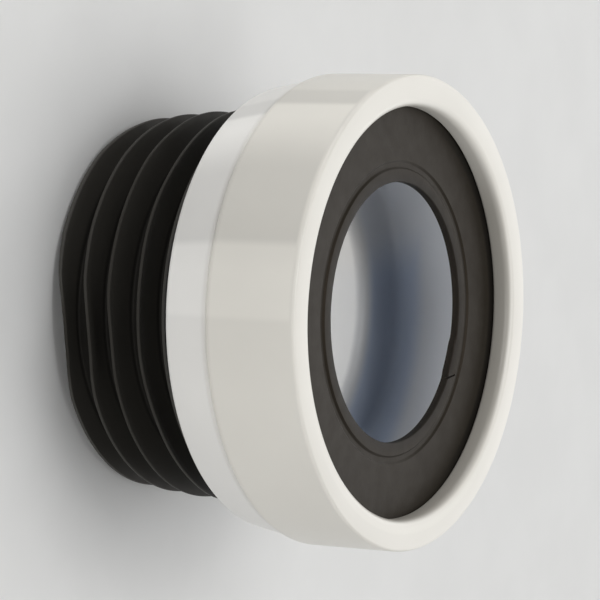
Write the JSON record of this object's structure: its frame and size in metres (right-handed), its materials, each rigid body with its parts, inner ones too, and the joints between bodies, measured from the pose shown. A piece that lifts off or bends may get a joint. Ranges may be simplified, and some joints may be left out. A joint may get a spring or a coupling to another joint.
{
  "type": "toilet pan connector",
  "caption": "Straight push-fit toilet pan connector: white rounded collar with a dark rubber inlet membrane, and a black rubber spigot ringed with soft fins.",
  "frame": {"origin": "centre of the outlet end, on the surface that the connector stands on", "axes": "+Z along the connector's axis, from the outlet end towards the pan"},
  "size_m": [0.135, 0.135, 0.0882],
  "materials": {
    "body_white": "smooth moulded polypropylene, cool white",
    "ring_white": "smooth moulded polypropylene, warm white",
    "seal_rubber": "matt dark grey rubber",
    "fin_rubber": "satin black rubber"
  },
  "bodies": {
    "root": {"body": "body_white", "retaining_ring": "ring_white", "inlet_seal": "seal_rubber", "outlet_sleeve": "fin_rubber"}
  },
  "joints": []
}
